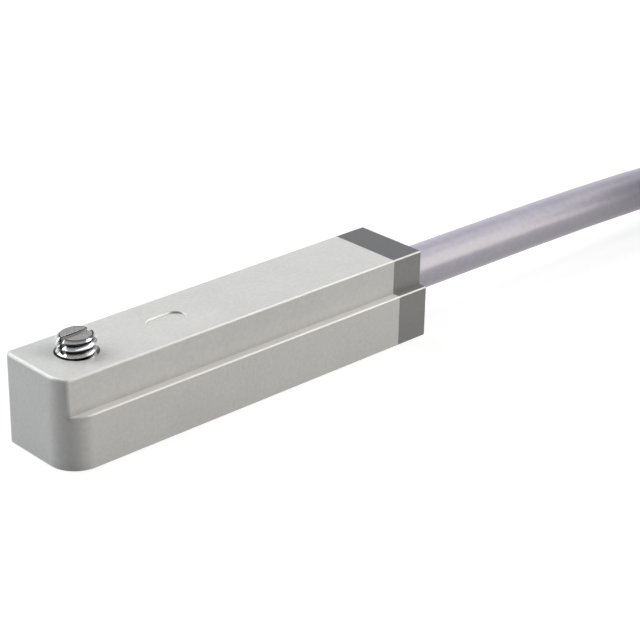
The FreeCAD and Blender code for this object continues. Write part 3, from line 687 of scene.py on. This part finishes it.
screw = makeScrew(screwSizes)
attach(screw, "screw")
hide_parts("clamp_screw")
print("screw cut:", len(screw.data.polygons), "faces")


# Moulded pieces: merged copies of the CAD nodes, shaded smooth round their rounded edges
mouldedFinish = {
    "mergeReach": 0.002,  # mm
    "flatAngle": 0.2,  # degrees
    "sharpAngle": 32.0,
}


def growWindowLip(bm, window):
    # the recess's rounded rim, made wider from where it meets the wall
    middleX, middleY = window["middle"]
    grow = window["lipGrown"] / window["lip"]
    slack = 0.1 * window["lip"]
    moved = 0
    for vert in bm.verts:
        x, y, z = vert.co / mm
        along = min(max(x - middleX, -window["halfStraight"]), window["halfStraight"])
        away = Vector((x - middleX - along, y - middleY))
        outside = away.length - window["endRadius"]
        below = window["top"] - z
        if -slack < outside < window["lip"] + slack and -slack < below < window["lip"] + slack:
            away = away.normalized() * (window["endRadius"] + max(outside, 0) * grow)
            vert.co = Vector((middleX + along + away.x, middleY + away.y, window["top"] - below * grow)) * mm
            moved += 1
    print("window lip points:", moved)


def dressNode(name, body, material, finish):
    bm = bmesh.new()
    bm.from_mesh(nodes[name].data)
    bmesh.ops.remove_doubles(bm, verts=bm.verts, dist=finish["mergeReach"] * mm)
    if name == "housing":
        growWindowLip(bm, windowSizes)
    flatAngle = math.radians(finish["flatAngle"])
    bmesh.ops.dissolve_limit(bm, angle_limit=flatAngle, verts=bm.verts, edges=bm.edges)
    piece = linkMesh(name + "_moulded", bm)
    piece.data.shade_smooth()
    piece.data.set_sharp_from_angle(angle=math.radians(finish["sharpAngle"]))
    piece.data.materials.append(material)
    weighted = piece.modifiers.new("flatFaces", "WEIGHTED_NORMAL")
    weighted.keep_sharp = True
    weighted.weight = 100
    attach(piece, body)
    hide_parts(name)


dressNode("housing", "sensor_body", housingPlastic, mouldedFinish)
dressNode("end_cap", "sensor_body", capPlastic, mouldedFinish)
print("housing and cap dressed")


# CAD nodes that stay, with their finishes
cable.data.materials.append(jacketPlastic)
nodeFinishes = {
    "threaded_insert": turnedBrass,
    "circuit_board": boardLaminate,
    "solder_lands": landCopper,
    "hall_chip": chipEpoxy,
    "hall_chip_leads": tinnedMetal,
    "output_transistor": chipEpoxy,
    "output_transistor_leads": tinnedMetal,
    "protection_diode": chipEpoxy,
    "protection_diode_ends": tinnedMetal,
    "indicator_led": ledBase,
    "indicator_led_lens": ledLens,
    "chip_resistors": resistorBody,
    "chip_capacitors": capacitorBody,
    "core_brown": brownSkin,
    "core_black": blackSkin,
    "core_blue": blueSkin,
    "core_conductors": bareCopper,
    "solder_joints": solderMetal,
    "crimp_sleeve": crimpSteel,
    "resin_seal": castResin,
    "hank_tie": nylonTie,
    "free_core_brown": brownSkin,
    "free_core_black": blackSkin,
    "free_core_blue": blueSkin,
    "core_tips": tinnedMetal,
}
for name, material in nodeFinishes.items():
    for place in nodes[name].material_slots:
        place.material = material
print("finishes assigned")


# Stage: a white sweep of floor and low wall, soft lamps either side of the view and one above
stageSetup = {
    "floorRings": (0.05, 0.5),  # m, as all sizes here
    "floorRadius": 3.0,
    "floorDrop": 0.00002,  # keeps the floor clear of the flat undersides
    "wallCurve": 0.4,
    "wallHeight": 0.9,
    "curveSteps": 8,
    "roundSteps": 64,
    "floorPlain": tint(150, 150, 150),  # what the object gets light from
    "floorPale": tint(154, 154, 153),
    "floorGrain": 30.0,  # mm
    "glowNear": 0.8,  # added where the sweep is seen, so that it shows white and keeps the shadow
    "glowFar": 1.0,
    "glowFrom": 0.25,
    "glowTo": 0.8,
    "worldDim": 0.055,  # what the object gets light from
    "worldShown": 0.46,  # what the camera and the metal see
    "lamps": {
        # name: direction to it, distance, axis that its length goes round, width, length, watts, colour
        "leftPanel": ((-0.33, 0.73, 0.60), 1.2, (0, 1, 0), 0.80, 1.60, 17.0, (0.93, 0.98, 1.0)),
        "rightPanel": ((0.66, -0.62, 0.42), 1.2, (1, 0, 0), 0.61, 0.95, 9.7, (1.0, 0.965, 0.92)),
        "rearPanel": ((0.66, -0.12, 0.74), 1.2, (1, 0, 0), 0.45, 0.50, 1.8, (0.93, 0.92, 1.0)),
        "topPanel": ((0.30, 0.08, 0.95), 1.2, (0, 1, 0), 0.42, 0.95, 2.5, (1.0, 1.0, 1.0)),
    },
}


def makeSweep(setup):
    bm = bmesh.new()
    curve, curveSteps = setup["wallCurve"], setup["curveSteps"]
    flat = setup["floorRadius"] - curve
    profile = [(radius, 0) for radius in (0, *setup["floorRings"], flat)]
    for step in range(1, curveSteps + 1):
        angle = math.radians(90 * step / curveSteps)
        profile.append((flat + curve * math.sin(angle), curve * (1 - math.cos(angle))))
    profile.append((setup["floorRadius"], setup["wallHeight"]))
    verts = [bm.verts.new((radius, 0, height)) for radius, height in profile]
    edges = [bm.edges.new(pair) for pair in zip(verts, verts[1:])]
    bmesh.ops.spin(bm, geom=verts + edges, cent=(0, 0, 0), axis=(0, 0, 1), angle=2 * math.pi,
                   steps=setup["roundSteps"], use_merge=True, use_duplicate=False)
    bmesh.ops.remove_doubles(bm, verts=bm.verts, dist=1e-5)
    bmesh.ops.translate(bm, verts=bm.verts, vec=(0, 0, -setup["floorDrop"]))
    bmesh.ops.recalc_face_normals(bm, faces=bm.faces)
    sweep = linkMesh("studio_sweep", bm)
    material, tree, shader = startMaterial("studioSweep")
    shader.inputs["Roughness"].default_value = 0.9
    shader.inputs["Specular IOR Level"].default_value = 0.1
    paper = objectNoise(tree, setup["floorGrain"])
    paper = colourRamp(tree, paper, ((0.3, setup["floorPlain"]), (0.7, setup["floorPale"])))
    tree.links.new(paper, shader.inputs["Base Color"])
    strength = valueRange(tree, vectorLength(tree, objectPlace(tree)), setup["glowNear"], setup["glowFar"],
                          setup["glowFrom"], setup["glowTo"])
    glow = tree.nodes.new("ShaderNodeEmission")
    tree.links.new(maskBoth(tree, strength, backgroundRays(tree)), glow.inputs["Strength"])
    both = tree.nodes.new("ShaderNodeAddShader")
    tree.links.new(shader.outputs["BSDF"], both.inputs[0])
    tree.links.new(glow.outputs["Emission"], both.inputs[1])
    tree.links.new(both.outputs["Shader"], tree.nodes["Material Output"].inputs["Surface"])
    sweep.data.materials.append(material)


def backgroundRays(tree):
    # 1 for the rays that show the background: the camera's, and what metal and glass mirror
    seen = tree.nodes.new("ShaderNodeLightPath").outputs
    mirrored = joinValues(tree, "MAXIMUM", seen["Is Glossy Ray"], seen["Is Transmission Ray"])
    return joinValues(tree, "MAXIMUM", mirrored, seen["Is Camera Ray"])


def makeWorld(setup):
    world = bpy.data.worlds.new("studioWorld")
    bpy.context.scene.world = world
    world.use_nodes = True
    tree = world.node_tree
    background = tree.nodes["Background"]
    background.inputs["Color"].default_value = (1, 1, 1, 1)
    strength = valueRange(tree, backgroundRays(tree), setup["worldDim"], setup["worldShown"], 0.0, 1.0)
    tree.links.new(strength, background.inputs["Strength"])


def makeLamps(setup):
    for name, (direction, distance, axis, width, length, watts, colour) in setup["lamps"].items():
        lampData = bpy.data.lights.new(name, "AREA")
        lampData.shape = "RECTANGLE"
        lampData.size = width
        lampData.size_y = length
        lampData.energy = watts
        lampData.color = colour
        lamp = bpy.data.objects.new(name, lampData)
        bpy.context.scene.collection.objects.link(lamp)
        away = Vector(direction).normalized()
        along = Vector(axis).cross(away).normalized()
        turn = Matrix((along.cross(away), along, away)).transposed().to_4x4()
        lamp.matrix_world = Matrix.Translation(away * distance) @ turn


makeSweep(stageSetup)
makeWorld(stageSetup)
makeLamps(stageSetup)
bpy.context.scene.view_settings.view_transform = "Standard"
print("stage set")

bpy.context.view_layer.update()
